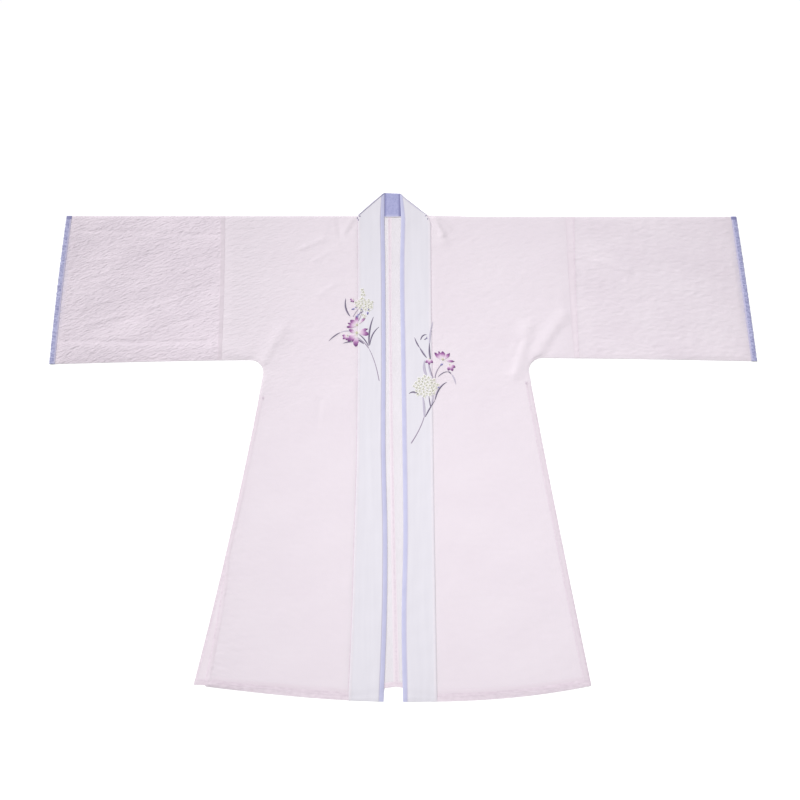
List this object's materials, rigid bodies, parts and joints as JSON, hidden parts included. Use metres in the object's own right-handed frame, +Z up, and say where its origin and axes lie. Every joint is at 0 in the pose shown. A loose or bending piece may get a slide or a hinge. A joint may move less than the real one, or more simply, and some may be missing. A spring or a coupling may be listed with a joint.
{
  "type": "open-front hanfu cardigan laid flat",
  "caption": "Long open-front hanfu cardigan of sheer crinkled cloth with wide straight sleeves, a plain collar band with a lilac edge and side slits, laid flat on its back.",
  "frame": {"origin": "middle of the bounding box, on the surface that the back lies on", "axes": "+X to the wearer's left along the sleeves, +Y towards the neck, +Z up out of the front layer"},
  "size_m": [1.5199, 1.0888, 0.0059],
  "materials": {
    "sheer_cloth": "satin",
    "band_cloth": "satin",
    "lilac_cloth": "satin"
  },
  "bodies": {
    "root": {"body_left": "sheer_cloth", "body_right": "sheer_cloth", "sleeve_left": "sheer_cloth", "sleeve_right": "sheer_cloth", "cuff_left": "lilac_cloth", "cuff_right": "lilac_cloth", "collar_band": "band_cloth", "collar_lining": "lilac_cloth"}
  },
  "joints": []
}
